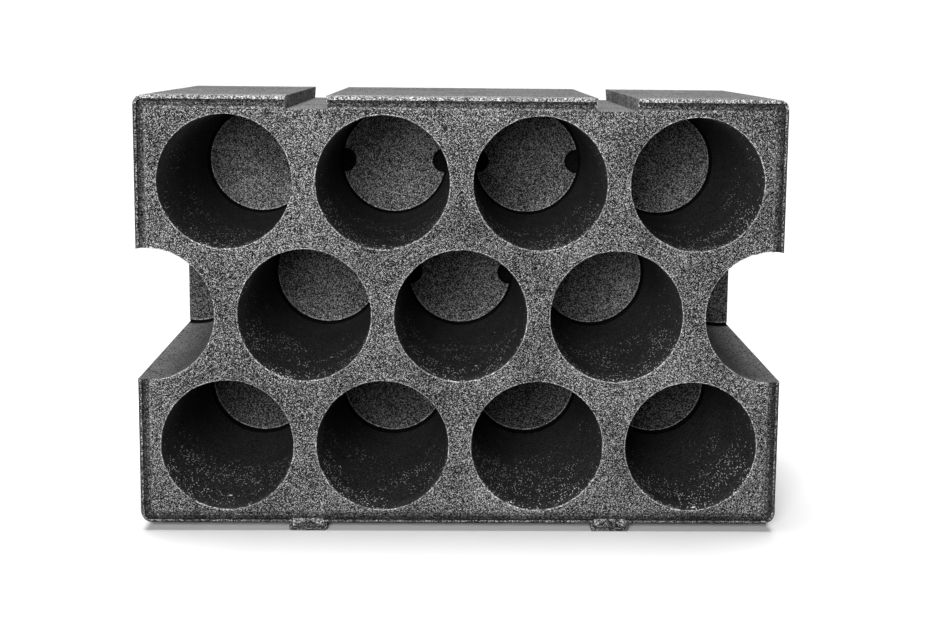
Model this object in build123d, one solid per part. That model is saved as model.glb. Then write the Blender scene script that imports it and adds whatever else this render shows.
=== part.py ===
from build123d import *
import os

os.makedirs("parts", exist_ok=True)

# A bottle rack moulded in one piece from foam beads. Sizes are in millimetres.
# The mouths of the bores face -Y, +X is to the right and +Z is up. The origin is
# at the middle of the footprint, at the height of the surface that the rack stands on.

# Outer block
block_width = 500.0
block_height = 335.0
block_depth = 250.0
top_corner_radius = 7.5
bottom_corner_radius = 9.0
front_edge_chamfer = 1.2
back_edge_chamfer = 1.8

# Bores, laid out in staggered rows from the lowest row to the highest. The two ends
# of the middle row lie so close to the sides that the sides cut them into half bores.
bores_per_row = (4, 5, 4)
bore_pitch = 121.0
row_pitch = 103.3
lowest_axis_height = 62.8
mouth_radius = 51.5
end_radius = 48.7
bore_length = 226.0
mouth_chamfer = 1.1

# Back disc of each bore, whose bevelled edge leaves a ring groove at the foot of the wall
disc_groove_width = 2.0
disc_groove_depth = 3.0

# Round pockets beside the back discs of the three bores nearest to the middle
pocket_radius = 11.0
pocket_offset = 45.8
pocket_length = 14.0
pocketed_rows = (1, 2)

# Rim and groove that run round the front face, inside the outline
rim_width = 2.7
rim_groove_width = 4.9
rim_groove_depth = 3.0
face_edge_rounding = 2.8
face_corner_radius = 4.5

# Rails: slots along the top, and the tongues of the same rack that sit in such slots
rail_offset = 119.0
slot_width = 30.6
slot_depth = 10.0
slot_undercut = 0.9
rail_clearance = 0.3
tongue_height = 6.2
tongue_corner_radius = 2.0

# Witness line that the two halves of the mould leave round the outside
witness_setback = 32.0
witness_width = 0.8
witness_depth = 0.5

# How far a cutter starts outside the face that it opens
overrun = 5.0

# How far the outline of a tongue is drawn up into the block that carries it
tongue_bite = 2.0

# Smallest corner radius that is left where an inset uses up a corner's own radius
sharpest_radius = 0.3

# Values that follow from the sizes above
front_y = -block_depth / 2
underside_z = tongue_height
top_z = underside_z + block_height
disc_radius = end_radius - disc_groove_width
tongue_width = slot_width - 2 * rail_clearance


def front_plane(setback=0.0):
    """Drawing plane parallel to the front, with local x along +X and local y along +Z."""
    return Plane(origin=(0, front_y + setback, 0), x_dir=(1, 0, 0), z_dir=(0, -1, 0))


def block_section(inset=0.0, smallest_radius=sharpest_radius):
    """Rounded outline of the block, drawn the same distance inside on all four sides."""
    half = block_width / 2 - inset
    low = underside_z + inset
    high = top_z - inset
    sharp = make_face(Polyline((-half, low), (half, low), (half, high), (-half, high), close=True))
    lower_radius = max(bottom_corner_radius - inset, smallest_radius)
    upper_radius = max(top_corner_radius - inset, smallest_radius)
    rounded = fillet(sharp.vertices().sort_by(Axis.Y)[:2], lower_radius)
    return fillet(rounded.vertices().sort_by(Axis.Y)[-2:], upper_radius)


def tongue_section(side, inset=0.0):
    """One tongue below the block, with its two lower corners rounded."""
    half = tongue_width / 2 - inset
    middle = side * rail_offset
    root = underside_z + inset + tongue_bite
    radius = max(tongue_corner_radius - inset, sharpest_radius)
    sharp = make_face(
        Polyline(
            (middle - half, inset),
            (middle + half, inset),
            (middle + half, root),
            (middle - half, root),
            close=True,
        )
    )
    return fillet(sharp.vertices().sort_by(Axis.Y)[:2], radius)


def slot_section(side):
    """One slot in the top, a little wider at its floor than at its opening."""
    middle = side * rail_offset
    floor_z = top_z - slot_depth
    half_open = slot_width / 2
    half_floor = half_open + slot_undercut
    half_over = half_open - slot_undercut * overrun / slot_depth
    return make_face(
        Polyline(
            (middle - half_floor, floor_z),
            (middle + half_floor, floor_z),
            (middle + half_over, top_z + overrun),
            (middle - half_over, top_z + overrun),
            close=True,
        )
    )


def bore_axes():
    """Row number, x and z of each bore's axis, with the half bores among them."""
    for row, count in enumerate(bores_per_row):
        z = underside_z + lowest_axis_height + row * row_pitch
        for place in range(count):
            yield row, (place - (count - 1) / 2) * bore_pitch, z


def bore_cutter(wall_line):
    """One bore with its axis on local Z, chamfered mouth at zero and back disc at bore_length.

    The wall leans in by the draft and runs past the disc to the foot of the ring groove.
    wall_line draws it: Line for a half bore, which the side then cuts along a plain conic,
    and Bezier with its two ends alone, which is straight too, for a whole bore."""
    flare = mouth_radius + mouth_chamfer
    wall_start = (mouth_radius, mouth_chamfer)
    wall_foot = (end_radius, bore_length + disc_groove_depth)
    outline = (
        Polyline((0, bore_length), (0, -overrun), (flare, -overrun), (flare, 0), wall_start)
        + wall_line(wall_start, wall_foot)
        + Polyline(wall_foot, (disc_radius, bore_length), (0, bore_length))
    )
    return revolve(Plane.XZ * make_face(outline), Axis.Z)


def pocket_cutter(side):
    """One pocket behind the back disc, held inside the width of the bore."""
    deep = bore_length + pocket_length
    hole = Pos(side * pocket_offset, 0, deep / 2) * Cylinder(pocket_radius, deep)
    return hole & Pos(0, 0, deep / 2) * Cylinder(end_radius, deep)


def outer_block():
    """Block and tongues, with the edges broken round the front and the back."""
    section = block_section() + tongue_section(-1) + tongue_section(1)
    solid = extrude(front_plane() * section, -block_depth)
    front_edges = solid.faces().sort_by(Axis.Y)[0].outer_wire().edges()
    solid = chamfer(front_edges, front_edge_chamfer)
    back_edges = solid.faces().sort_by(Axis.Y)[-1].outer_wire().edges()
    return chamfer(back_edges, back_edge_chamfer)


def rim_groove():
    """Groove between the rim and the raised front face, which it leaves round-edged."""
    outer = block_section(rim_width, face_corner_radius)
    for side in (-1, 1):
        outer += tongue_section(side, rim_width)
    inner = block_section(rim_width + rim_groove_width, face_corner_radius)
    face = extrude(front_plane() * inner, -rim_groove_depth)
    face = fillet(face.faces().sort_by(Axis.Y)[0].outer_wire().edges(), face_edge_rounding)
    return extrude(front_plane() * outer, -rim_groove_depth) - face


def witness_line():
    """Shallow line round the block and its tongues where the halves of the mould meet."""
    plane = front_plane(witness_setback)
    around = block_section(-(tongue_height + overrun))
    within = block_section(witness_depth)
    for side in (-1, 1):
        within += tongue_section(side, witness_depth)
    return extrude(plane * around, -witness_width) - extrude(plane * within, -witness_width)


def rack_block():
    """The whole rack."""
    solid = outer_block() - rim_groove()
    for side in (-1, 1):
        solid -= extrude(front_plane(-overrun) * slot_section(side), -(block_depth + 2 * overrun))
    whole_cutter = bore_cutter(Bezier)
    half_cutter = bore_cutter(Line)
    pockets = pocket_cutter(-1) + pocket_cutter(1)
    for row, x, z in bore_axes():
        place = Location(Plane(origin=(x, front_y, z), x_dir=(1, 0, 0), z_dir=(0, 1, 0)))
        reaches_side = abs(x) + mouth_radius > block_width / 2
        solid -= place * (half_cutter if reaches_side else whole_cutter)
        beside_middle = abs(x) < bore_pitch
        if beside_middle and row in pocketed_rows:
            solid -= place * pockets
    return solid - witness_line()


rack = rack_block()
export_step(rack, "parts/rack_block.step")
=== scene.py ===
# %% [markdown]
# A rack for bottles, moulded in one piece from foam beads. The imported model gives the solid, its
# size and its place. This file makes the piece that is seen: the same shape with beaded edges and
# the finish of the foam. It also sets up the light, the floor and the camera.

import math
from functools import partial

import bmesh
import bpy
import numpy as np
from mathutils import Matrix, Vector


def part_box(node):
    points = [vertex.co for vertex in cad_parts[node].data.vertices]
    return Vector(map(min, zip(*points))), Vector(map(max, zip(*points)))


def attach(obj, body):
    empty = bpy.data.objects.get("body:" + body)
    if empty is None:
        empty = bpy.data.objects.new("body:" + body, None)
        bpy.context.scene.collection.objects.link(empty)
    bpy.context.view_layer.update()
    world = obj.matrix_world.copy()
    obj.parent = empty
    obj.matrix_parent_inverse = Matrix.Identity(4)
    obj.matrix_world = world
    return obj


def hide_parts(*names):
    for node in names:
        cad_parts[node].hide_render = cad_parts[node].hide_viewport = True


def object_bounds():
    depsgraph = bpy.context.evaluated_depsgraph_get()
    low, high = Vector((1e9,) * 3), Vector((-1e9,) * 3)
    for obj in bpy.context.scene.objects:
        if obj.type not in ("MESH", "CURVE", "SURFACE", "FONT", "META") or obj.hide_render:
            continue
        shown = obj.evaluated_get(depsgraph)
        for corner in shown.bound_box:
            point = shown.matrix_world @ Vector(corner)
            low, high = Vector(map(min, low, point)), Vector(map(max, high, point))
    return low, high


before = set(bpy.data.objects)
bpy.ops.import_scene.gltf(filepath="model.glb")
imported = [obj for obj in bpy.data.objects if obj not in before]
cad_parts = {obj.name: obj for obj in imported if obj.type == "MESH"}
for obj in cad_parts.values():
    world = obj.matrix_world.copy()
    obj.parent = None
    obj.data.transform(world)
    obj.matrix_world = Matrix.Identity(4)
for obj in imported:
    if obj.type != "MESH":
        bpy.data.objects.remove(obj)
cad_low, cad_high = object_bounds()
print("CAD box from", tuple(round(v, 4) for v in cad_low), "to", tuple(round(v, 4) for v in cad_high))

scene = bpy.context.scene
scene.view_settings.view_transform = "Standard"
scene.view_settings.look = "None"

# %% [markdown]
# A photograph tells where it was taken from. The mouths of the bores are equal circles on one
# plane, and the back discs are equal circles on another, so a camera was fitted until both sets
# fell on their outlines. It could be matched by eye, but a fit settles the depth of the bores too.
# The lens looks a little down, and a small shift lowers the picture as the photograph's crop does.

# %% Camera
IMAGE_WIDTH = 930
IMAGE_HEIGHT = 620
SENSOR_WIDTH = 36.0
FOCAL_PIXELS = 1465.1
AXIS_PIXEL = (484.1, 240.0)
CAMERA_PLACE = Vector((-0.0060, -1.2420, 0.3796))
YAW = math.radians(-1.206)
TILT = math.radians(7.526)
ROLL = math.radians(0.557)


def camera_turn(yaw, tilt, roll):
    """Rotation from camera axes to the world: level and facing +Y, then rolled about the line of
    sight by roll, tipped down by tilt and turned about Z by yaw."""
    facing = Matrix.Rotation(math.pi / 2, 3, "X")
    turned = Matrix.Rotation(yaw, 3, "Z")
    tipped = Matrix.Rotation(-tilt, 3, "X")
    rolled = Matrix.Rotation(-roll, 3, "Y")
    return turned @ tipped @ rolled @ facing


lens = bpy.data.cameras.new("camera")
lens.sensor_width = SENSOR_WIDTH
lens.lens = FOCAL_PIXELS * SENSOR_WIDTH / IMAGE_WIDTH
lens.shift_x = (IMAGE_WIDTH / 2 - AXIS_PIXEL[0]) / IMAGE_WIDTH
lens.shift_y = (AXIS_PIXEL[1] - IMAGE_HEIGHT / 2) / IMAGE_WIDTH
camera = bpy.data.objects.new("camera", lens)
scene.collection.objects.link(camera)
turn = camera_turn(YAW, TILT, ROLL)
camera.matrix_world = Matrix.Translation(CAMERA_PLACE) @ turn.to_4x4()
scene.camera = camera
print("camera looks along", tuple(round(v, 4) for v in turn @ Vector((0, 0, -1))))

# %% [markdown]
# The photograph shows the rack on plain white. White paper lit by itself looks white and gives the
# rack only a little light. A bright surround would do the first but flood the bores with light, so
# two backgrounds are mixed: a bright one for what the camera sees and a dim one for what falls on
# the rack.

# %% Surround
WHITE = (1.0, 1.0, 1.0, 1.0)
SEEN_STRENGTH = 1.05
GIVEN_STRENGTH = 0.10
world = bpy.data.worlds.new("studio")
scene.world = world
world.use_nodes = True
surround = world.node_tree
seen = surround.nodes.new("ShaderNodeBackground")
seen.inputs["Color"].default_value = WHITE
seen.inputs["Strength"].default_value = SEEN_STRENGTH
given = surround.nodes["Background"]
given.inputs["Color"].default_value = WHITE
given.inputs["Strength"].default_value = GIVEN_STRENGTH
either = surround.nodes.new("ShaderNodeMixShader")
path = surround.nodes.new("ShaderNodeLightPath")
surround.links.new(path.outputs["Is Camera Ray"], either.inputs["Fac"])
surround.links.new(given.outputs["Background"], either.inputs[1])
surround.links.new(seen.outputs["Background"], either.inputs[2])
surround.links.new(either.outputs["Shader"], surround.nodes["World Output"].inputs["Surface"])
print("surround seen at", SEEN_STRENGTH, "and giving", GIVEN_STRENGTH)

# %% [markdown]
# Two lamps light the rack. The front one stands just above the camera, so that its light runs down
# the bores and reaches their back discs, as in the photograph. The one overhead is broad and far
# away, which makes the top bright and the floor even, and leaves the walls of the bores dark.

# %% Lamps
OVERHEAD_FROM = Vector((-0.05, 0.12, 1.0))
OVERHEAD_POWER = 6.5
OVERHEAD_SPREAD = math.radians(40)
FRONT_PLACE = (-0.24, -1.70, 0.62)
FRONT_POWER = 48.0
FRONT_SIZE = 0.5


def add_lamp(name, kind, place, aim, power, **settings):
    """A lamp at place, turned to face aim. Settings are the lamp's own properties."""
    data = bpy.data.lights.new(name, kind)
    data.energy = power
    for setting, value in settings.items():
        setattr(data, setting, value)
    lamp = bpy.data.objects.new(name, data)
    lamp.location = place
    lamp.rotation_mode = "QUATERNION"
    lamp.rotation_quaternion = (Vector(aim) - Vector(place)).to_track_quat("-Z", "Y")
    lamp.visible_camera = False
    scene.collection.objects.link(lamp)


middle = (cad_low + cad_high) / 2
add_lamp("overhead", "SUN", middle + OVERHEAD_FROM, middle, OVERHEAD_POWER, angle=OVERHEAD_SPREAD)
add_lamp("front", "AREA", FRONT_PLACE, middle, FRONT_POWER, shape="SQUARE", size=FRONT_SIZE)
print("lamps:", [lamp.name for lamp in bpy.data.lights])

# %% [markdown]
# The floor is one large pale square. It is matt, because a shiny one would mirror the rack.

# %% Floor
FLOOR_REACH = 8.0
FLOOR_GREY = 0.52
FLOOR_ROUGHNESS = 0.95
floor_corners = [(x * FLOOR_REACH, y * FLOOR_REACH, 0) for x, y in ((-1, -1), (1, -1), (1, 1), (-1, 1))]
floor_mesh = bpy.data.meshes.new("floor")
floor_mesh.from_pydata(floor_corners, [], [(0, 1, 2, 3)])
floor = bpy.data.objects.new("floor", floor_mesh)
scene.collection.objects.link(floor)
floor_material = bpy.data.materials.new("pale_floor")
floor_material.use_nodes = True
floor_shader = floor_material.node_tree.nodes["Principled BSDF"]
floor_shader.inputs["Base Color"].default_value = (FLOOR_GREY, FLOOR_GREY, FLOOR_GREY, 1)
floor_shader.inputs["Roughness"].default_value = FLOOR_ROUGHNESS
floor_shader.inputs["Specular IOR Level"].default_value = 0.0
floor_mesh.materials.append(floor_material)
print("floor", 2 * FLOOR_REACH, "m wide")

# %% [markdown]
# The rack is one moulding with many hollows. It could be built up from surfaces that meet edge to
# edge, but those are hard to close where a half bore runs out through a side. Here it is made as a
# mould maker would see it: a plain block, then the tools that leave the bores, slots and grooves.
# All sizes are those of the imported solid, in millimetres.

# %% Sizes
MM = 0.001
box_low, box_high = (np.array(corner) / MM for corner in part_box("rack_block"))
WIDTH, DEPTH, TOP_Z = (box_high - box_low).tolist()
FRONT_Y = box_low[1]
BACK_Y = box_high[1]
UNDERSIDE_Z = 6.2
BLOCK_HEIGHT = TOP_Z - UNDERSIDE_Z
LOWER_CORNER = 9.0
UPPER_CORNER = 7.5
FRONT_CHAMFER = 1.2
BACK_CHAMFER = 1.8
OVERRUN = 5.0
SIDES = (-1, 1)
print("block", round(WIDTH, 2), "x", round(DEPTH, 2), "x", round(BLOCK_HEIGHT, 2), "mm")

# %% [markdown]
# On the real rack every edge is a row of small beads, so none is quite straight. Moving each point
# by a number of its own would give a torn edge. A sum of waves that run in all directions gives
# points that lie close together nearly the same shift, and it can be asked for at any point, so
# pieces that meet ripple alike.

# %% Ripple of the beads
RIPPLE_SEED = 7
RIPPLE_WAVES = 40
BEAD = 3.2
SHORTEST, LONGEST = 0.8, 3.0
ripple_source = np.random.default_rng(RIPPLE_SEED)
ripple_direction = ripple_source.normal(size=(3, RIPPLE_WAVES))
ripple_direction /= np.linalg.norm(ripple_direction, axis=0)
ripple_length = BEAD * ripple_source.uniform(SHORTEST, LONGEST, RIPPLE_WAVES)
ripple_wave = ripple_direction * 2 * np.pi / ripple_length
ripple_phase = ripple_source.uniform(0, 2 * np.pi, RIPPLE_WAVES)


def ripple(points):
    """Sum of forty sines of a wave vector times the point plus a phase, divided by the root of
    forty, so that it stays near plus or minus one."""
    return np.sin(points @ ripple_wave + ripple_phase).sum(axis=-1) / math.sqrt(RIPPLE_WAVES)


print("waves from", round(ripple_length.min(), 1), "to", round(ripple_length.max(), 1), "mm long")

# %% [markdown]
# A tube is rings of points, one after the other. Faces are worked out from the rings' numbers alone,
# as arrays with one row to a face. The two ends are closed by one many-sided face each.

# %% Meshes from arrays
def read_faces(mesh, field, width):
    """The named property of every face, as an array with one row of the width to a face."""
    values = np.empty(len(mesh.polygons) * width)
    mesh.polygons.foreach_get(field, values)
    return values.reshape(-1, width)


def mesh_from_arrays(name, points, faces):
    """A mesh in metres from points in millimetres and a list of arrays of faces. The volume inside
    is a third of the sum of each face's middle times its normal times its area, and if it comes out
    negative the faces are turned round."""
    mesh = bpy.data.meshes.new(name)
    mesh.from_pydata((points * MM).tolist(), [], [row for rows in faces for row in rows.tolist()])
    mesh.update()
    outward = (read_faces(mesh, "normal", 3) * read_faces(mesh, "center", 3)).sum(axis=1)
    volume = (outward * read_faces(mesh, "area", 1)[:, 0]).sum() / 3
    if volume < 0:
        mesh.flip_normals()
    piece = bpy.data.objects.new(name, mesh)
    scene.collection.objects.link(piece)
    return piece


def grid_faces(rings, count, closed_rings):
    """Four-sided faces between ring i and ring i + 1, where every ring has count points. With
    closed_rings the last ring joins the first."""
    ring = np.arange(rings if closed_rings else rings - 1)[:, None]
    step = np.arange(count)[None, :]
    here = ring * count
    above = (ring + 1) % rings * count
    after = (step + 1) % count
    corners = [here + step, here + after, above + after, above + step]
    return np.stack(corners, axis=-1).reshape(-1, len(corners))


def capped_faces(rings, count):
    """Faces of a tube, and the two many-sided faces at its ends. The first end runs the other way
    round, so that all of them face outwards."""
    ring = np.arange(count)
    ends = np.stack([ring[::-1], (rings - 1) * count + ring])
    return [grid_faces(rings, count, False), ends]


def joined(name, parts):
    """One mesh from several closed shapes that don't touch, each given as points and faces. Each
    shape's faces count on from the points of those before it."""
    points = np.concatenate([part_points for part_points, _ in parts])
    starts = np.cumsum([0] + [len(part_points) for part_points, _ in parts])
    faces = [rows + start for (_, part_faces), start in zip(parts, starts) for rows in part_faces]
    return mesh_from_arrays(name, points, faces)


print("a tube of 3 rings of 8 points has", sum(len(rows) for rows in capped_faces(3, 8)), "faces")

# %% [markdown]
# The block, its rim and its groove all follow one outline, a rectangle with rounded corners, drawn
# at different distances inside. A Bevel modifier could round the corners, but not by a radius that
# changes with the distance, and the rings of a profile need the same number of points each.

# %% Outlines
CORNER_STEPS = 10
STRAIGHT_STEP = 3.2


def rounded_outline(half_width, low, high, lower_radius, upper_radius, straight_counts):
    """Points (x, z) round a rectangle with rounded corners, counter-clockwise from the lower right
    corner. A corner is a quarter circle about its own centre, and a straight run lies evenly
    between the ends of two corners."""
    turns = np.linspace(0, math.pi / 2, CORNER_STEPS + 1)
    corners = [
        (half_width - lower_radius, low + lower_radius, lower_radius, -math.pi / 2),
        (half_width - upper_radius, high - upper_radius, upper_radius, 0.0),
        (-half_width + upper_radius, high - upper_radius, upper_radius, math.pi / 2),
        (-half_width + lower_radius, low + lower_radius, lower_radius, math.pi),
    ]
    arcs = [
        np.stack([x + radius * np.cos(start + turns), z + radius * np.sin(start + turns)], axis=1)
        for x, z, radius, start in corners
    ]
    runs = []
    for place, arc in enumerate(arcs):
        share = np.linspace(0, 1, straight_counts[place % 2] + 1)[1:-1, None]
        following = arcs[(place + 1) % len(arcs)]
        runs += [arc, arc[-1] * (1 - share) + following[0] * share]
    return np.concatenate(runs)


def block_outline(inset, lower_radius, upper_radius):
    """Outline of the block, drawn inset on all four sides."""
    counts = (round(BLOCK_HEIGHT / STRAIGHT_STEP), round(WIDTH / STRAIGHT_STEP))
    low, high = UNDERSIDE_Z + inset, TOP_Z - inset
    return rounded_outline(WIDTH / 2 - inset, low, high, lower_radius, upper_radius, counts)


def carried_round(profile, outline_at, roughness, closed_rings=False):
    """Points and faces of a profile carried round an outline. Row i of the profile gives an inset,
    a y and two corner radii, and outline_at turns the inset and radii into a ring of points. Each
    point then moves inwards by the roughness times half of one plus the ripple, held from 0 to 1."""
    rings = []
    for inset, y, lower_radius, upper_radius in profile:
        flat = outline_at(inset, lower_radius, upper_radius)
        inwards = outline_at(inset + roughness, lower_radius, upper_radius) - flat
        level = np.full(len(flat), y)
        share = (ripple(np.column_stack([flat[:, 0], level, flat[:, 1]])) * 0.5 + 0.5).clip(0, 1)
        flat = flat + inwards * share[:, None]
        rings.append(np.column_stack([flat[:, 0], level, flat[:, 1]]))
    count = len(rings[0])
    faces = [grid_faces(len(rings), count, True)] if closed_rings else capped_faces(len(rings), count)
    return np.concatenate(rings), faces


print("the block's outline has", len(block_outline(0, LOWER_CORNER, UPPER_CORNER)), "points")

# %% [markdown]
# The block itself is one profile, from the back to the front: a broken edge, the long side with the
# thin line that the two halves of the mould leave, and another broken edge. Its rings stand closer
# together near the front, where the beads along the edge are seen. The tongues below it have the
# same profile, so one function serves both.

# %% Block
SIDE_RIPPLE = 0.12
WITNESS_SETBACK = 32.0
WITNESS_Y = FRONT_Y + WITNESS_SETBACK
WITNESS_WIDTH = 0.8
WITNESS_DEPTH = 0.5
BACK_RING = 40.0
LINE_RING = 20.0
FRONT_RING = 3.0
EDGE_BEAD = 0.3
LEAST_RADIUS = 0.3


def side_profile(front_edge, back_edge, lower_radius, upper_radius):
    """Inset, y and corner radii from the back edge to the front edge. The witness line is a step in
    by its depth and out again, and each corner radius shrinks by the inset."""
    path = [
        (back_edge, BACK_Y),
        (0, BACK_Y - back_edge),
        (0, BACK_Y - BACK_RING),
        (0, (BACK_Y + WITNESS_Y) / 2),
        (0, WITNESS_Y + LINE_RING),
        (0, WITNESS_Y + WITNESS_WIDTH),
        (WITNESS_DEPTH, WITNESS_Y + WITNESS_WIDTH),
        (WITNESS_DEPTH, WITNESS_Y),
        (0, WITNESS_Y),
        (0, FRONT_Y + WITNESS_SETBACK / 2),
        (0, FRONT_Y + front_edge + FRONT_RING),
        (0, FRONT_Y + front_edge),
        (front_edge * EDGE_BEAD, FRONT_Y + front_edge * EDGE_BEAD),
        (front_edge, FRONT_Y),
    ]
    return [
        (inset, y, max(lower_radius - inset, LEAST_RADIUS), max(upper_radius - inset, LEAST_RADIUS))
        for inset, y in path
    ]


block_profile = side_profile(FRONT_CHAMFER, BACK_CHAMFER, LOWER_CORNER, UPPER_CORNER)
block = mesh_from_arrays("rack_foam", *carried_round(block_profile, block_outline, SIDE_RIPPLE))
print("block has", len(block.data.polygons), "faces")

# %% [markdown]
# Two tongues run along the underside, and two slots along the top take the tongues of the rack that
# stands on it. A tongue is joined to the block, so it reaches a little way up into it: two faces
# that only touch would be hard to join.

# %% Tongues
RAIL_OFFSET = 119.0
SLOT_WIDTH = 30.6
RAIL_CLEARANCE = 0.3
TONGUE_WIDTH = SLOT_WIDTH - 2 * RAIL_CLEARANCE
TONGUE_CORNER = 2.0
TONGUE_BITE = 4.0
TONGUE_UPRIGHT_STEPS = 3


def tongue_outline(side):
    """Outline function of one tongue, which reaches up into the block by the bite."""
    counts = (TONGUE_UPRIGHT_STEPS, round(TONGUE_WIDTH / STRAIGHT_STEP))

    def outline(inset, lower_radius, upper_radius):
        half, high = TONGUE_WIDTH / 2 - inset, UNDERSIDE_Z + TONGUE_BITE
        shape = rounded_outline(half, inset, high, lower_radius, upper_radius, counts)
        return shape + [side * RAIL_OFFSET, 0]

    return outline


tongue_profile = side_profile(FRONT_CHAMFER, BACK_CHAMFER, TONGUE_CORNER, TONGUE_CORNER)
tongues = joined(
    "tongues", [carried_round(tongue_profile, tongue_outline(side), SIDE_RIPPLE) for side in SIDES]
)
print("tongues have", len(tongues.data.polygons), "faces")

# %% [markdown]
# A slot is a little wider at its floor than at its opening, which holds the tongue. Its tool is a
# long bar of that section. Only the bar's front end ripples, where the beads of the slot's corner
# are seen, because on the long wall behind it the same ripple would look like dents.

# %% Slots
SLOT_DEPTH = 10.0
SLOT_UNDERCUT = 0.9
SLOT_RIPPLE = 0.1
SLOT_FADE = 6.0
SLOT_NEAR_END, SLOT_NEAR_RINGS = 32.0, 16
SLOT_FAR_START, SLOT_FAR_RINGS = 45.0, 12


def slot_tool(side):
    """A bar with a section wider at the foot, carried from before the front to past the back. Each
    ring moves sideways by the ripple, which fades as e to the minus depth over the fade length."""
    near_rings = np.linspace(FRONT_Y - OVERRUN, FRONT_Y + SLOT_NEAR_END, SLOT_NEAR_RINGS)
    far_rings = np.linspace(FRONT_Y + SLOT_FAR_START, BACK_Y + OVERRUN, SLOT_FAR_RINGS)
    reach = np.concatenate([near_rings, far_rings])
    half_floor = SLOT_WIDTH / 2 + SLOT_UNDERCUT
    half_over = SLOT_WIDTH / 2 - SLOT_UNDERCUT * OVERRUN / SLOT_DEPTH
    floor_z, over_z = TOP_Z - SLOT_DEPTH, TOP_Z + OVERRUN
    section_x = np.array([-half_floor, half_floor, half_over, -half_over]) + side * RAIL_OFFSET
    section_z = np.array([floor_z, floor_z, over_z, over_z])
    points = np.stack(np.broadcast_arrays(section_x, reach[:, None], section_z), axis=-1)
    points[..., 0] += SLOT_RIPPLE * ripple(points) * np.exp((FRONT_Y - points[..., 1]) / SLOT_FADE)
    return points.reshape(-1, 3), capped_faces(len(reach), len(section_x))


print("a slot's tool has", len(slot_tool(1)[0]), "points")

# %% [markdown]
# Just inside the front edge runs a rim, then a groove, and inside that the raised face with a
# rounded edge. The groove's tool is a closed profile carried round the same outline as the block,
# so it keeps its distance from the edge by itself, at the corners too.

# %% Rim groove
RIM_WIDTH = 2.7
RIM_BEAD = 0.6
GROOVE_WIDTH = 4.9
GROOVE_DEPTH = 3.0
GROOVE_SHADE = 2.6
FACE_ROUNDING = 2.8
FACE_CORNER = 4.5
ROUNDING_STEPS = 6
ROUNDING_SHARE = 0.92
FACE_RIPPLE = 0.25


def groove_profile():
    """Closed profile of the tool: down the rim's side, across the groove's floor, and up the edge of
    the raised face along a quarter circle, of which the last few degrees are left out so that the
    tool leaves the face at an angle."""
    floor_y = FRONT_Y + GROOVE_DEPTH
    outside_y = FRONT_Y - OVERRUN
    inner = RIM_WIDTH + GROOVE_WIDTH
    turn = np.linspace(0, math.pi / 2 * ROUNDING_SHARE, ROUNDING_STEPS + 1)
    insets = inner + FACE_ROUNDING * (1 - np.cos(turn))
    levels = FRONT_Y + FACE_ROUNDING * (1 - np.sin(turn))
    rim_radii = (max(LOWER_CORNER - RIM_WIDTH, FACE_CORNER), max(UPPER_CORNER - RIM_WIDTH, FACE_CORNER))
    rows = [
        (RIM_WIDTH, outside_y, *rim_radii),
        (RIM_WIDTH, FRONT_Y + RIM_BEAD, *rim_radii),
        (RIM_WIDTH, floor_y, *rim_radii),
        (RIM_WIDTH + GROOVE_SHADE, floor_y, FACE_CORNER, FACE_CORNER),
        (inner, floor_y, FACE_CORNER, FACE_CORNER),
    ]
    for inset, y in zip(insets, levels):
        radius = FACE_CORNER - (inset - inner)
        rows.append((inset, y, radius, radius))
    last_inset, _, last_lower, last_upper = rows[-1]
    rows.append((last_inset, outside_y, last_lower, last_upper))
    return rows


groove_ring = carried_round(groove_profile(), block_outline, FACE_RIPPLE, closed_rings=True)
groove_tool = mesh_from_arrays("groove_tool", *groove_ring)
print("groove tool has", len(groove_tool.data.polygons), "faces")

# %% [markdown]
# On the real rack the groove runs on into the front of each tongue. There it is a plain hollow, so a
# straight bar is enough. The bars and the slots' tools don't touch, and go into one mesh.

# %% Tongue grooves
def tongue_groove(side):
    """A straight bar with a rectangular section, half the tongue's width less the rim to each side."""
    half = TONGUE_WIDTH / 2 - RIM_WIDTH
    low, high = RIM_WIDTH, UNDERSIDE_Z + RIM_WIDTH + GROOVE_WIDTH / 2
    levels = (FRONT_Y - OVERRUN, FRONT_Y + GROOVE_DEPTH)
    section = ((-half, low), (half, low), (half, high), (-half, high))
    corners = np.array([(x, y, z) for y in levels for x, z in section])
    corners[:, 0] += side * RAIL_OFFSET
    return corners, capped_faces(len(levels), len(section))


bars = [slot_tool(side) for side in SIDES] + [tongue_groove(side) for side in SIDES]
slots_and_grooves = joined("slots_and_grooves", bars)
print("slots and tongue grooves:", len(bars), "bars")

# %% [markdown]
# A bore is turned, as on a lathe: a profile of radius against depth, carried about the bore's axis.
# It has a small round lip at the mouth, a wall that closes in by a few millimetres so that the
# mould comes out, a V-shaped ring groove and a flat disc. The two at the ends of the middle row lie
# partly outside the block, which leaves half bores with no more work.

# %% Bore profile
MOUTH_RADIUS = 51.5
END_RADIUS = 48.7
BORE_LENGTH = 226.0
LIP = 1.1
LIP_STEPS = 4
LIP_START = 0.12
RING_WIDTH = 2.0
RING_DEPTH = 3.0
DISC_EDGE = 0.9
FOOT_SHADE = 7.0
WALL_RINGS = 10
WALL_CROWDING = 1.6


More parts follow.
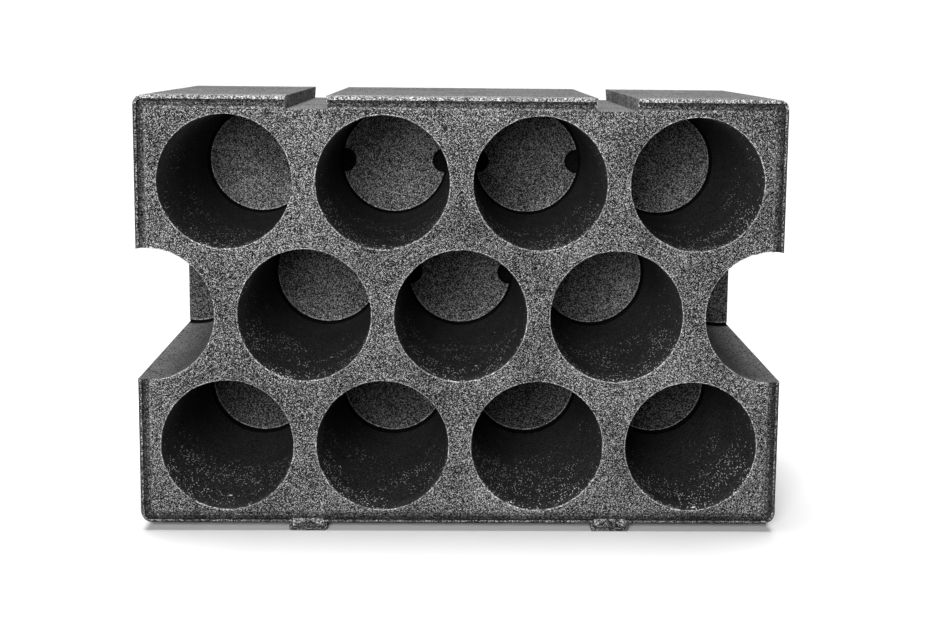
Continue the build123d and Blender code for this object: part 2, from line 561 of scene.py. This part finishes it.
def bore_profile():
    """Radius and depth from outside the front face to the disc. The lip is a quarter circle outside
    the wall. The wall is a straight taper, and its rings crowd towards the mouth, as a share raised
    to a power above one."""
    turn = np.linspace(math.pi / 2 * LIP_START, math.pi / 2, LIP_STEPS + 1)
    lip_radius = MOUTH_RADIUS + LIP * (1 - np.sin(turn))
    lip_depth = LIP * (1 - np.cos(turn))
    foot_depth = BORE_LENGTH + RING_DEPTH
    shade_from = (BORE_LENGTH - FOOT_SHADE - LIP) / (foot_depth - LIP)
    share = np.append((np.linspace(0, 1, WALL_RINGS) ** WALL_CROWDING)[1:] * shade_from, 1)
    wall_radius = MOUTH_RADIUS + (END_RADIUS - MOUTH_RADIUS) * share
    wall_depth = LIP + (foot_depth - LIP) * share
    disc_radius = END_RADIUS - RING_WIDTH
    disc_rings = [disc_radius, disc_radius - DISC_EDGE]
    radius = np.concatenate([[lip_radius[0]], lip_radius, wall_radius, disc_rings])
    depth = np.concatenate([[-OVERRUN], lip_depth, wall_depth, [BORE_LENGTH, BORE_LENGTH]])
    return radius, depth


print("bore profile has", len(bore_profile()[0]), "rings")

# %% [markdown]
# Thirteen bores stand in three staggered rows. Each mouth ripples from bead to bead, and the ripple
# fades down the wall, where the mould was smooth. In the photograph one mouth has a nick. It could
# be cut by a tool of its own, but a bump in the radius at one angle is simpler.

# %% Bores
BORES_PER_ROW = (4, 5, 4)
BORE_PITCH = 121.0
ROW_PITCH = 103.3
LOWEST_AXIS = UNDERSIDE_Z + 62.8
BORE_SEGMENTS = 224
LIP_RIPPLE = 0.16
RIPPLE_FADE = 5.0
DEEP_RIPPLE = 0.3
NICK_BORE = (-BORE_PITCH * 1.5, LOWEST_AXIS + 2 * ROW_PITCH)
NICK_ANGLE = math.radians(-9.5)
NICK_LENGTH = 2.0
NICK_DEPTH = 2.0
bore_places = [
    ((place - (count - 1) / 2) * BORE_PITCH, LOWEST_AXIS + row * ROW_PITCH, row)
    for row, count in enumerate(BORES_PER_ROW)
    for place in range(count)
]


def about_axis(x, z, radius, angle, depth):
    """Points at a radius and an angle from the axis through (x, z), and a depth behind the front."""
    return np.stack([x + radius * np.cos(angle), FRONT_Y + depth, z + radius * np.sin(angle)], axis=-1)


def bore_tool(x, z):
    """The profile turned about the axis at (x, z). The radius grows by the ripple, most at the lip
    and less as e to the minus depth over the fade length. A nick adds a bell curve of the distance
    along the mouth."""
    radius, depth = bore_profile()
    turn = np.linspace(0, 2 * np.pi, BORE_SEGMENTS, endpoint=False)
    radius, angle = np.meshgrid(radius, turn, indexing="ij")
    depth = np.repeat(depth[:, None], BORE_SEGMENTS, axis=1)
    fade = np.exp(-depth.clip(0) / RIPPLE_FADE)
    share = DEEP_RIPPLE + (1 - DEEP_RIPPLE) * fade
    waves = ripple(about_axis(x, z, radius, angle, depth))
    radius = radius + LIP_RIPPLE * waves * share * (depth < BORE_LENGTH)
    if (x, z) == NICK_BORE:
        along = (angle - NICK_ANGLE + np.pi) % (2 * np.pi) - np.pi
        radius = radius + NICK_DEPTH * np.exp(-((along * MOUTH_RADIUS / NICK_LENGTH) ** 2)) * fade
    return about_axis(x, z, radius, angle, depth).reshape(-1, 3), capped_faces(*radius.shape)


bore_tools = joined("bore_tools", [bore_tool(x, z) for x, z, _ in bore_places])
print(len(bore_places), "bores,", len(bore_tools.data.polygons), "faces")

# %% [markdown]
# Three back discs have a round pocket at each side, which the wall of the bore cuts off. A pocket's
# tool is a short round bar whose outer part is drawn in to the bore's own end radius, so that it
# never breaks into the wall.

# %% Pockets
POCKET_RADIUS = 11.0
POCKET_OFFSET = 45.8
POCKET_LENGTH = 14.0
POCKET_SEGMENTS = 64
POCKET_MARGIN = 0.02
POCKETED_ROWS = (1, 2)


def pocket_tool(x, z, side):
    """A round bar behind the disc. Points of its circle that lie further from the bore's axis than
    the end radius are scaled back to it."""
    turn = np.linspace(0, 2 * np.pi, POCKET_SEGMENTS, endpoint=False)
    across = side * POCKET_OFFSET + POCKET_RADIUS * np.cos(turn)
    up = POCKET_RADIUS * np.sin(turn)
    held = np.minimum(1, (END_RADIUS - POCKET_MARGIN) / np.linalg.norm([across, up], axis=0))
    levels = FRONT_Y + BORE_LENGTH + np.array([-OVERRUN, POCKET_LENGTH])
    rings = np.broadcast_arrays(x + across * held, levels[:, None], z + up * held)
    return np.stack(rings, axis=-1).reshape(-1, 3), capped_faces(len(levels), POCKET_SEGMENTS)


pocketed = [(x, z) for x, z, row in bore_places if abs(x) < BORE_PITCH and row in POCKETED_ROWS]
pocket_tools = joined("pocket_tools", [pocket_tool(x, z, side) for x, z in pocketed for side in SIDES])
print(len(pocketed), "bores have pockets")

# %% [markdown]
# Now the tools cut the block, one after the other, with Boolean modifiers. The manifold solver is
# fast and always leaves a closed shape, and asks for closed shapes that face outwards, which these
# are. The result is written back as one mesh, so that nothing is left to compute later.

# %% Cut the block
def cut(piece, tool, operation):
    """Join or cut one closed shape with another, keep the result as the piece's own mesh and take
    the tool away."""
    step = piece.modifiers.new(operation, "BOOLEAN")
    step.object = tool
    step.operation = operation
    step.solver = "MANIFOLD"
    bpy.context.view_layer.update()
    evaluated = piece.evaluated_get(bpy.context.evaluated_depsgraph_get())
    result = bpy.data.meshes.new_from_object(evaluated)
    piece.modifiers.clear()
    old = piece.data
    piece.data = result
    bpy.data.meshes.remove(old)
    tool_mesh = tool.data
    bpy.data.objects.remove(tool)
    bpy.data.meshes.remove(tool_mesh)
    print(operation, "leaves", len(result.polygons), "faces")


cut(block, tongues, "UNION")
cut(block, groove_tool, "DIFFERENCE")
cut(block, slots_and_grooves, "DIFFERENCE")
cut(block, bore_tools, "DIFFERENCE")
cut(block, pocket_tools, "DIFFERENCE")

# %% [markdown]
# The cuts leave a few points that nearly coincide, and faces with many corners. Merging the points
# and splitting the faces into triangles leaves nothing to chance in the export. Open edges are
# counted, because a closed mesh has none.

# %% Clean the mesh
MERGE_WITHIN = 0.002 * MM
FLAT_WITHIN = 0.001 * MM
shape = bmesh.new()
shape.from_mesh(block.data)
bmesh.ops.remove_doubles(shape, verts=shape.verts, dist=MERGE_WITHIN)
bmesh.ops.dissolve_degenerate(shape, edges=shape.edges, dist=FLAT_WITHIN)
bmesh.ops.triangulate(shape, faces=shape.faces)
print("open edges:", sum(not edge.is_manifold for edge in shape.edges), "triangles:", len(shape.faces))
print("volume", round(shape.calc_volume() / MM**3 / 1000), "cm3")
shape.to_mesh(block.data)
shape.free()

# %% [markdown]
# The finish comes next. Pressed foam is a bed of beads, each a little lighter or darker than the
# next and domed, with dark gaps between. A photograph of foam could be laid on, but it would stretch
# in the bores. Noise worked out from the place of each point is the same all round, and shader
# nodes do that. These helpers keep the node code short.

# %% Node helpers
NEARLY_NEUTRAL = 1.01
NEW_STOP = 0.5


def add_node(tree, kind, inputs=(), **settings):
    """A node of the given kind. Settings are its own properties, and inputs are pairs of a socket
    and either a number to set or another node's output to link."""
    node = tree.nodes.new("ShaderNode" + kind)
    for name, value in settings.items():
        setattr(node, name, value)
    for socket, value in inputs:
        if isinstance(value, bpy.types.NodeSocket):
            tree.links.new(value, node.inputs[socket])
        else:
            node.inputs[socket].default_value = value
    return node


def maths(tree, operation, first, second=0.0, clamp=False):
    """Output of one sum on two values."""
    inputs = [(0, first), (1, second)]
    return add_node(tree, "Math", inputs, operation=operation, use_clamp=clamp).outputs[0]


def mapped(tree, value, low, high, to_low=0.0, to_high=1.0):
    """Output of a straight map from low..high to to_low..to_high, held at both ends."""
    pairs = [("Value", value), ("From Min", low), ("From Max", high), ("To Min", to_low), ("To Max", to_high)]
    return add_node(tree, "MapRange", pairs, clamp=True).outputs["Result"]


def noise(tree, place, scale, detail):
    """Smooth noise from 0 to 1 with scale lumps to the metre."""
    pairs = [("Vector", place), ("Scale", scale), ("Detail", detail)]
    return add_node(tree, "TexNoise", pairs).outputs["Fac"]


def stretched(tree, place, spacing):
    """The place counted in cells that are spacing metres wide along X, Y and Z."""
    scale = tuple(1 / width for width in spacing)
    return add_node(tree, "Mapping", [("Vector", place), ("Scale", scale)]).outputs[0]


def toned(tree, value, stops):
    """Grey colour for a value from 0 to 1. Stops are pairs of a value and a reflectance."""
    ramp = add_node(tree, "ValToRGB", [("Fac", value)])
    elements = ramp.color_ramp.elements
    while len(elements) < len(stops):
        elements.new(NEW_STOP)
    for element, (place, grey) in zip(elements, stops):
        element.position = place
        element.color = (grey, grey, grey * NEARLY_NEUTRAL, 1)
    return ramp.outputs["Color"]


print("blue is", NEARLY_NEUTRAL, "times red and green in every tone")

# %% [markdown]
# A Voronoi texture splits space into cells, and each cell has a random colour and a distance from
# its middle. The colour gives every bead its own tone, and the distance gives it a dome. A finer
# noise breaks both up. For flecks, only some of the cells are kept, and only their middles.

# %% Beads and flecks
FINE_PER_GRAIN = 1.9
FINE_DETAIL = 2.0
FINE_RANGE = (0.28, 0.72)
FINE_RELIEF = 0.6
DOME_REACH = 0.75
FLECK_EDGE = 0.7
CHANCE_STEP = 0.01


def beads(tree, place, grain, jitter):
    """Value and height of a bed of beads of about the grain's size in metres. The value is a cell's
    random shade plus fine noise from minus to plus jitter. The height is one less the distance from
    the cell's middle over the dome's reach, plus a share of the noise."""
    cells = add_node(tree, "TexVoronoi", [("Vector", place), ("Scale", 1 / grain)])
    shade = add_node(tree, "SeparateColor", [(0, cells.outputs["Color"])]).outputs[0]
    fine = noise(tree, place, FINE_PER_GRAIN / grain, FINE_DETAIL)
    value = maths(tree, "ADD", shade, mapped(tree, fine, *FINE_RANGE, -jitter, jitter), clamp=True)
    dome = mapped(tree, cells.outputs["Distance"], 0.0, DOME_REACH, 1.0, 0.0)
    return value, maths(tree, "ADD", dome, maths(tree, "MULTIPLY", fine, FINE_RELIEF))


def flecks(tree, place, spacing, share, radius):
    """One on small spots and nought between them. A share of the cells is kept by their random
    colour, and a spot is the middle of a kept cell out to the radius, in widths of the cell."""
    cells = add_node(tree, "TexVoronoi", [("Vector", stretched(tree, place, spacing)), ("Scale", 1.0)])
    chance = add_node(tree, "SeparateColor", [(0, cells.outputs["Color"])]).outputs[1]
    kept = mapped(tree, chance, 1 - share, 1 - share + CHANCE_STEP)
    spot = mapped(tree, cells.outputs["Distance"], radius * FLECK_EDGE, radius, 1.0, 0.0)
    return maths(tree, "MULTIPLY", kept, spot)


print("fine noise", FINE_PER_GRAIN, "lumps to a grain")

# %% [markdown]
# Each part of the mould leaves marks of its own. The front face has open pits, some of them deeper
# than others. The outer skin is smooth, with faint marks where the mould slid off. The slots' walls
# were dragged along their length. A pit could be cut into the mesh, but there are far too many, so
# each of these functions takes the tone and gives it back altered.

# %% Marks of the mould
PIT_SPACING = (0.00105, 0.00105, 0.00105)
FACE_PITS = dict(spacing=PIT_SPACING, share=0.42, radius=0.38)
SHALLOW_PITS = dict(spacing=PIT_SPACING, share=0.30, radius=0.34)
SHALLOW_LIFT = 0.5
SLOT_SPACING = (0.002, 0.009, 0.002)
SLOT_GAPS = dict(spacing=SLOT_SPACING, share=0.35, radius=0.42)
SLOT_FILLS = dict(spacing=SLOT_SPACING, share=0.3, radius=0.4)
DRAG_SPACING = (0.07, 0.004, 0.004)
DRAG_DETAIL = 4.0
DRAG_MAP = (0.35, 0.7, 0.05, -0.1)
SKIN_PITS = dict(spacing=PIT_SPACING, share=0.08, radius=0.34)
WALL_PITS = dict(spacing=(0.0018, 0.006, 0.0018), share=0.3, radius=0.36)


def uneven_pits(tree, place, value):
    """The tone, less one on every pit, plus a half on the shallow ones. Both come from the same
    cells, so most of the pits are shallow, and a light bead still shows at their bottom."""
    pits = flecks(tree, place, **FACE_PITS)
    lift = maths(tree, "MULTIPLY", flecks(tree, place, **SHALLOW_PITS), SHALLOW_LIFT)
    return maths(tree, "ADD", maths(tree, "SUBTRACT", value, pits), lift, clamp=True)


def drawn_gaps(tree, place, value):
    """The tone, less one on gaps drawn out along the slot, plus one where they are filled again.
    Both come from the same cells, so a few gaps stay dark and the others leave a faint rim."""
    gaps = flecks(tree, place, **SLOT_GAPS)
    fills = flecks(tree, place, **SLOT_FILLS)
    return maths(tree, "ADD", maths(tree, "SUBTRACT", value, gaps), fills, clamp=True)


def drag_marks(tree, place, value):
    """The tone, plus a slow noise stretched along the width, less one on a few pits."""
    drag = noise(tree, stretched(tree, place, DRAG_SPACING), 1.0, DRAG_DETAIL)
    value = maths(tree, "ADD", value, mapped(tree, drag, *DRAG_MAP), clamp=True)
    return maths(tree, "SUBTRACT", value, flecks(tree, place, **SKIN_PITS), clamp=True)


def dark_pits(tree, place, value):
    """The tone, less one on a few pits drawn out along the bore."""
    return maths(tree, "SUBTRACT", value, flecks(tree, place, **WALL_PITS), clamp=True)


print("cells for pits are", round(PIT_SPACING[0] / MM, 2), "mm wide")

# %% [markdown]
# Inside a bore the wall is nearly black, with light beads and short scratches that gather in patches
# near the mouth. The light beads are painted glints where the front lamp catches single beads, and
# the lower half of each wall, which faces up to the light, gets many more of them. The scratches are
# wear. The wall's own tone is scaled down with the depth, a painted shade deeper in the bore. The
# spots are drawn out along the bore, because the camera looks along the wall and sees them
# foreshortened.

# %% Marks in the bores
GLINT_SPACING = (0.0013, 0.0032, 0.0013)
GLINT_RADIUS = 0.36
GLINT_REACH = 170.0
GLINT_AT_REACH = 0.3
PATCH_SCALE = 30.0
PATCH_MAP = (0.38, 0.6, 0.25, 1.1)
SCUFF_SPACING = (0.011, 0.013, 0.0032)
SCUFF_RADIUS = 0.16
SCUFFS_PER_GLINT = 0.15
# Painted shade: shares of the wall's tone at the glints' reach and at the mouth.
WALL_AT_REACH, WALL_AT_MOUTH = 0.5, 0.64


def glints_scuffs_and_shade(tree, place, value, share):
    """The tone scaled down with the depth, a painted shade, plus light beads as painted glints, a share
    of them all, and scratches. Beads and scratches fade in a straight line with the depth behind the
    front face."""
    along = add_node(tree, "SeparateXYZ", [(0, place)]).outputs["Y"]
    reach = (FRONT_Y * MM, (FRONT_Y + GLINT_REACH) * MM)
    near_mouth = mapped(tree, along, *reach, 1.0, GLINT_AT_REACH)
    patch = mapped(tree, noise(tree, place, PATCH_SCALE, 1.0), *PATCH_MAP)
    glints = maths(tree, "MULTIPLY", flecks(tree, place, GLINT_SPACING, share, GLINT_RADIUS), patch)
    scuffs = flecks(tree, place, SCUFF_SPACING, share * SCUFFS_PER_GLINT, SCUFF_RADIUS)
    marks = maths(tree, "MULTIPLY", maths(tree, "ADD", glints, scuffs), near_mouth)
    # Painted shade: the wall's tone falls with the depth behind the front face.
    level = mapped(tree, near_mouth, GLINT_AT_REACH, 1.0, WALL_AT_REACH, WALL_AT_MOUTH)
    return maths(tree, "ADD", maths(tree, "MULTIPLY", value, level), marks, clamp=True)


few_glints = partial(glints_scuffs_and_shade, share=0.1)
many_glints = partial(glints_scuffs_and_shade, share=0.46)
print("glints reach", GLINT_REACH, "mm down a bore")

# %% [markdown]
# All the finishes are one material with other settings: the size of the grain, the tones from the
# darkest bead to the lightest, the height of the beads, how dull they are, and the marks. Foam
# shines hardly at all. Even a little shine would lay grey over the black gaps, so the shader's
# specular level is kept close to nought.

# %% Foam material
SLOW_SCALE = 22.0
SLOW_DETAIL = 3.0
SLOW_RANGE = (0.3, 0.7)
DRIFT = 0.08


def foam_material(name, grain, tones, relief, roughness, jitter, marks=None, shine=0.06):
    """Pressed foam beads. The tone is that of the beads plus a slow noise over some centimetres, and
    marks may be a function that alters it. It sets the colour by the tones, and the roughness
    between its two values. The relief is the height of the beads in metres."""
    material = bpy.data.materials.new(name)
    material.use_nodes = True
    tree = material.node_tree
    shader = tree.nodes["Principled BSDF"]
    place = add_node(tree, "TexCoord").outputs["Object"]
    value, height = beads(tree, place, grain, jitter)
    slow = mapped(tree, noise(tree, place, SLOW_SCALE, SLOW_DETAIL), *SLOW_RANGE, -DRIFT, DRIFT)
    value = maths(tree, "ADD", value, slow, clamp=True)
    if marks:
        value = marks(tree, place, value)
    tree.links.new(toned(tree, value, tones), shader.inputs["Base Color"])
    tree.links.new(mapped(tree, value, 0.0, 1.0, *roughness), shader.inputs["Roughness"])
    bump = add_node(tree, "Bump", [("Strength", 1.0), ("Distance", relief), ("Height", height)])
    tree.links.new(bump.outputs["Normal"], shader.inputs["Normal"])
    shader.inputs["Specular IOR Level"].default_value = shine
    return material


print("tone drifts by", DRIFT, "over about", round(1000 / SLOW_SCALE), "mm")

# %% [markdown]
# The tones were set by rendering, measuring patches of the picture against the same patches of the
# photograph, and moving the stops until the mean and the spread came close. The numbers are shares
# of light that a bead sends back: black foam sends back a few hundredths.

# %% Finishes
FACE_TONES = ((0.0, 0.0004), (0.2, 0.0015), (0.45, 0.021), (0.72, 0.072), (1.0, 0.38))
# Painted highlight: light beads on the rim, the strip behind it, the mouths' lips and the discs' edges.
HIGHLIGHT_TONES = ((0.0, 0.002), (0.15, 0.02), (0.5, 0.12), (0.8, 0.25), (1.0, 0.55))
# Painted highlight: lighter beads on the ridge's rounded edge in the upper rows.
RIDGE_HIGHLIGHT_TONES = ((0.0, 0.001), (0.15, 0.015), (0.5, 0.075), (0.8, 0.16), (1.0, 0.4))
# Painted shade: darker beads in the groove, on the tongues and on the lowest and half bores' discs.
SHADED_TONES = ((0.0, 0.0004), (0.2, 0.004), (0.5, 0.026), (0.75, 0.055), (1.0, 0.22))
# Painted shade: near black on the rim's outer chamfer and in the groove under the rim.
EDGE_SHADE_TONES = ((0.0, 0.0004), (0.4, 0.01), (0.8, 0.026), (1.0, 0.08))
SLOT_TONES = ((0.0, 0.02), (0.25, 0.08), (0.5, 0.17), (0.8, 0.26), (1.0, 0.42))
SKIN_TONES = ((0.0, 0.004), (0.25, 0.086), (0.7, 0.124), (1.0, 0.195))
# The top stop is the nearly white tone of the painted glints.
WALL_TONES = ((0.0, 0.001), (0.3, 0.026), (0.6, 0.044), (0.8, 0.13), (1.0, 0.9))
OPEN_WALL_TONES = ((0.0, 0.002), (0.1, 0.06), (0.6, 0.115), (0.92, 0.135), (1.0, 0.18))
DISC_TONES = ((0.0, 0.0004), (0.2, 0.005), (0.5, 0.038), (0.75, 0.09), (1.0, 0.38))
# Painted shade: near black at the foot of each bore wall and in the witness line.
CREVICE_SHADE_TONES = ((0.0, 0.001), (1.0, 0.006))
MATT = (0.9, 0.65)
HIGHLIGHT_ROUGHNESS = (0.8, 0.5)
WALL_ROUGHNESS = (0.8, 0.6)
SKIN_DULL = (0.95, 0.85)
DEAD_MATT = (1.0, 1.0)
# One row to a finish: name, grain, tones, relief, roughness, jitter, and if any, marks and shine.
finishes = {
    name: foam_material(name, *settings)
    for name, *settings in (
        ("speckled_face", 0.0006, FACE_TONES, 0.0004, MATT, 0.35, uneven_pits),
        ("pressed_rim", 0.0008, HIGHLIGHT_TONES, 0.0003, HIGHLIGHT_ROUGHNESS, 0.35, uneven_pits, 0.2),
        ("ridge_beads", 0.0008, RIDGE_HIGHLIGHT_TONES, 0.0003, MATT, 0.35, uneven_pits),
        ("slot_wall", 0.0014, SLOT_TONES, 0.0003, MATT, 0.3, drawn_gaps),
        ("dull_beads", 0.0007, SHADED_TONES, 0.0003, MATT, 0.35, uneven_pits),
        ("outer_groove", 0.0008, EDGE_SHADE_TONES, 0.0003, MATT, 0.3),
        ("smooth_skin", 0.0011, SKIN_TONES, 0.00015, SKIN_DULL, 0.25, drag_marks, 0.04),
        ("bore_wall", 0.001, WALL_TONES, 0.00015, WALL_ROUGHNESS, 0.2, few_glints),
        ("rubbed_wall", 0.001, WALL_TONES, 0.00015, WALL_ROUGHNESS, 0.2, many_glints),
        ("open_wall", 0.001, OPEN_WALL_TONES, 0.00015, WALL_ROUGHNESS, 0.15, dark_pits),
        ("back_disc", 0.00066, DISC_TONES, 0.0003, MATT, 0.35, uneven_pits),
        ("crevice", 0.001, CREVICE_SHADE_TONES, 0.0001, DEAD_MATT, 0.2),
    )
}
print(len(finishes), "finishes")

# %% [markdown]
# Each face of the mesh gets its finish from where it lies. They could be picked by hand, but there
# are over a hundred thousand. Three measures say nearly everything: the depth behind the front, the
# distance from the nearest bore's axis, and the inset from the outside.

# %% Measure every face
NEAR = 0.3
centre = read_faces(block.data, "center", 3) / MM
upward = read_faces(block.data, "normal", 3)[:, 2]
across, height = centre[:, 0], centre[:, 2]
depth = centre[:, 1] - FRONT_Y
axes = np.array([(x, z) for x, z, _ in bore_places])
from_axes = np.linalg.norm(centre[:, None, [0, 2]] - axes[None], axis=2)
from_axis = from_axes.min(axis=1)
nearest = axes[from_axes.argmin(axis=1)]
from_end = np.minimum(TOP_Z - height, height - UNDERSIDE_Z)
inset = np.minimum(WIDTH / 2 - np.abs(across), from_end)
print(len(centre), "faces, the deepest", round(depth.max(), 1), "mm behind the front")

# %% [markdown]
# Inside the bores there are walls, the ring groove at their foot, and discs whose edge is a thin
# light line in the photograph, given here as a painted highlight. The last millimetres of wall by
# the ring groove get painted shade. The walls of the half bores are smoother and lighter, and the
# lower part of each full bore gets more painted glints, where its beads face up to the light.

# %% Faces in the bores
WALL_FROM = LIP * 0.7
GLINTS_BELOW = 18.0
cut_by_side = np.abs(nearest[:, 0]) + MOUTH_RADIUS > WIDTH / 2
in_lowest_row = nearest[:, 1] < LOWEST_AXIS + NEAR
in_bore = (from_axis < MOUTH_RADIUS + NEAR) & (depth > WALL_FROM)
in_bore &= (depth < BORE_LENGTH + POCKET_LENGTH + NEAR) & (np.abs(across) < WIDTH / 2 - NEAR)
on_disc = in_bore & (np.abs(depth - BORE_LENGTH) < NEAR)
on_disc &= from_axis < END_RADIUS - RING_WIDTH + NEAR
disc_edge = on_disc & (from_axis > END_RADIUS - RING_WIDTH - DISC_EDGE)
on_wall = in_bore & ~on_disc
in_ring = on_wall & (depth > BORE_LENGTH - FOOT_SHADE)
# Faces below a bore's axis get more painted glints, as they face up to the light.
glint_rich = on_wall & (height < nearest[:, 1] - GLINTS_BELOW)
print(int(on_wall.sum()), "faces on walls,", int(on_disc.sum()), "on discs")

# %% [markdown]
# Outside the bores there are the slots, the rim round the front with its groove and the ridge inside
# it, the tongues, and the long skin behind the witness line. The strip in front of that line has
# the rim's bright beads, a painted highlight, as has the upper ridge. The groove and the tongues
# get painted shade.

# %% Faces on the outside
ON_TOP = 0.9
JUST_INSIDE = 0.02
HAIR = 0.05
GROOVE_FROM = 0.1
RIDGE_HEIGHT = FACE_ROUNDING * 0.75
LINE_MARGIN = 0.01
in_slot = (height > TOP_Z - SLOT_DEPTH - NEAR) & (depth > NEAR)
in_slot &= np.abs(np.abs(across) - RAIL_OFFSET) < SLOT_WIDTH / 2 + SLOT_UNDERCUT + NEAR
slot_floor = in_slot & (upward > ON_TOP)
outside = ~in_bore & ~in_slot
behind_line = outside & (depth > WITNESS_Y - FRONT_Y + WITNESS_WIDTH / 2)
from_line = np.abs(depth - (WITNESS_Y - FRONT_Y) - WITNESS_WIDTH / 2)
in_line = outside & (from_line < WITNESS_WIDTH / 2 + LINE_MARGIN)
in_groove = outside & (depth > GROOVE_FROM) & (depth < GROOVE_DEPTH + NEAR)
in_groove &= (inset > RIM_WIDTH - NEAR) & (inset < RIM_WIDTH + GROOVE_WIDTH + FACE_ROUNDING)
on_ridge = in_groove & (inset > RIM_WIDTH + GROOVE_WIDTH + HAIR) & (depth < RIDGE_HEIGHT)
on_tongue = (height < UNDERSIDE_Z - HAIR) & (depth < WITNESS_SETBACK)
on_rim = outside & ~in_groove & (depth < WITNESS_SETBACK) & (inset < RIM_WIDTH + HAIR)
on_lip = (from_axis < MOUTH_RADIUS + LIP + NEAR) & (depth > JUST_INSIDE) & (depth < LIP)
rim_front = on_rim & (height <= TOP_Z - UPPER_CORNER) & (depth < FRONT_CHAMFER)
print(int(in_groove.sum()), "faces in the groove,", int(on_rim.sum()), "on the rim")

# %% [markdown]
# The rules are read in order, and a later one wins. So the list goes from the general to the
# particular, and each line can stay short.

# %% Give each face its finish
order = list(finishes)
finish_of = np.full(len(centre), order.index("speckled_face"))
for name, here in (
    # Painted highlight on the rim, the strip behind it and the mouths' lips.
    ("pressed_rim", on_rim | on_lip),
    ("speckled_face", rim_front),
    # Painted shade on the rim's outer chamfer.
    ("outer_groove", rim_front & (inset < FRONT_CHAMFER)),
    # Painted shade in the groove and on the tongues.
    ("dull_beads", in_groove | on_tongue),
    ("speckled_face", on_ridge),
    # Painted highlight on the ridge above the lowest row's axis.
    ("ridge_beads", on_ridge & (height > LOWEST_AXIS)),
    ("slot_wall", in_slot & ~slot_floor),
    # Painted shade in the groove's outer part, under the rim.
    ("outer_groove", in_groove & (inset < RIM_WIDTH + GROOVE_SHADE)),
    ("smooth_skin", behind_line | slot_floor),
    ("bore_wall", on_wall),
    # More painted glints on the lower walls.
    ("rubbed_wall", glint_rich),
    ("open_wall", on_wall & cut_by_side),
    # Painted shade at the foot of each bore wall and in the witness line.
    ("crevice", in_ring | in_line),
    ("back_disc", on_disc),
    # Painted shade on the discs of the lowest row and of the half bores.
    ("dull_beads", on_disc & (cut_by_side | in_lowest_row)),
    # Painted highlight on the discs' edges.
    ("pressed_rim", disc_edge),
):
    finish_of[here] = order.index(name)
block.data.materials.clear()
for name in order:
    block.data.materials.append(finishes[name])
block.data.polygons.foreach_set("material_index", finish_of.astype(np.int32))
print({name: int((finish_of == place).sum()) for place, name in enumerate(order)})

# %% [markdown]
# Flat triangles would show on the round walls, so the shading runs smoothly over them, and stops
# where two faces meet at more than a set angle. The weighted normals let large faces rule small
# ones, which keeps the flat face flat right up to the small faces of a lip.

# %% Smooth the round surfaces and keep the edges
SHARP_FROM = math.radians(21)
block.data.polygons.foreach_set("use_smooth", np.ones(len(centre), dtype=bool))
block.data.set_sharp_from_angle(angle=SHARP_FROM)
weighted = block.modifiers.new("even_normals", "WEIGHTED_NORMAL")
weighted.keep_sharp = True
block.data.update()
print("edges sharp from", round(math.degrees(SHARP_FROM)), "degrees")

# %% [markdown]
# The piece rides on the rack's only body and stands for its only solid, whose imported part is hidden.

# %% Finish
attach(block, "root")
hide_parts("rack_block")
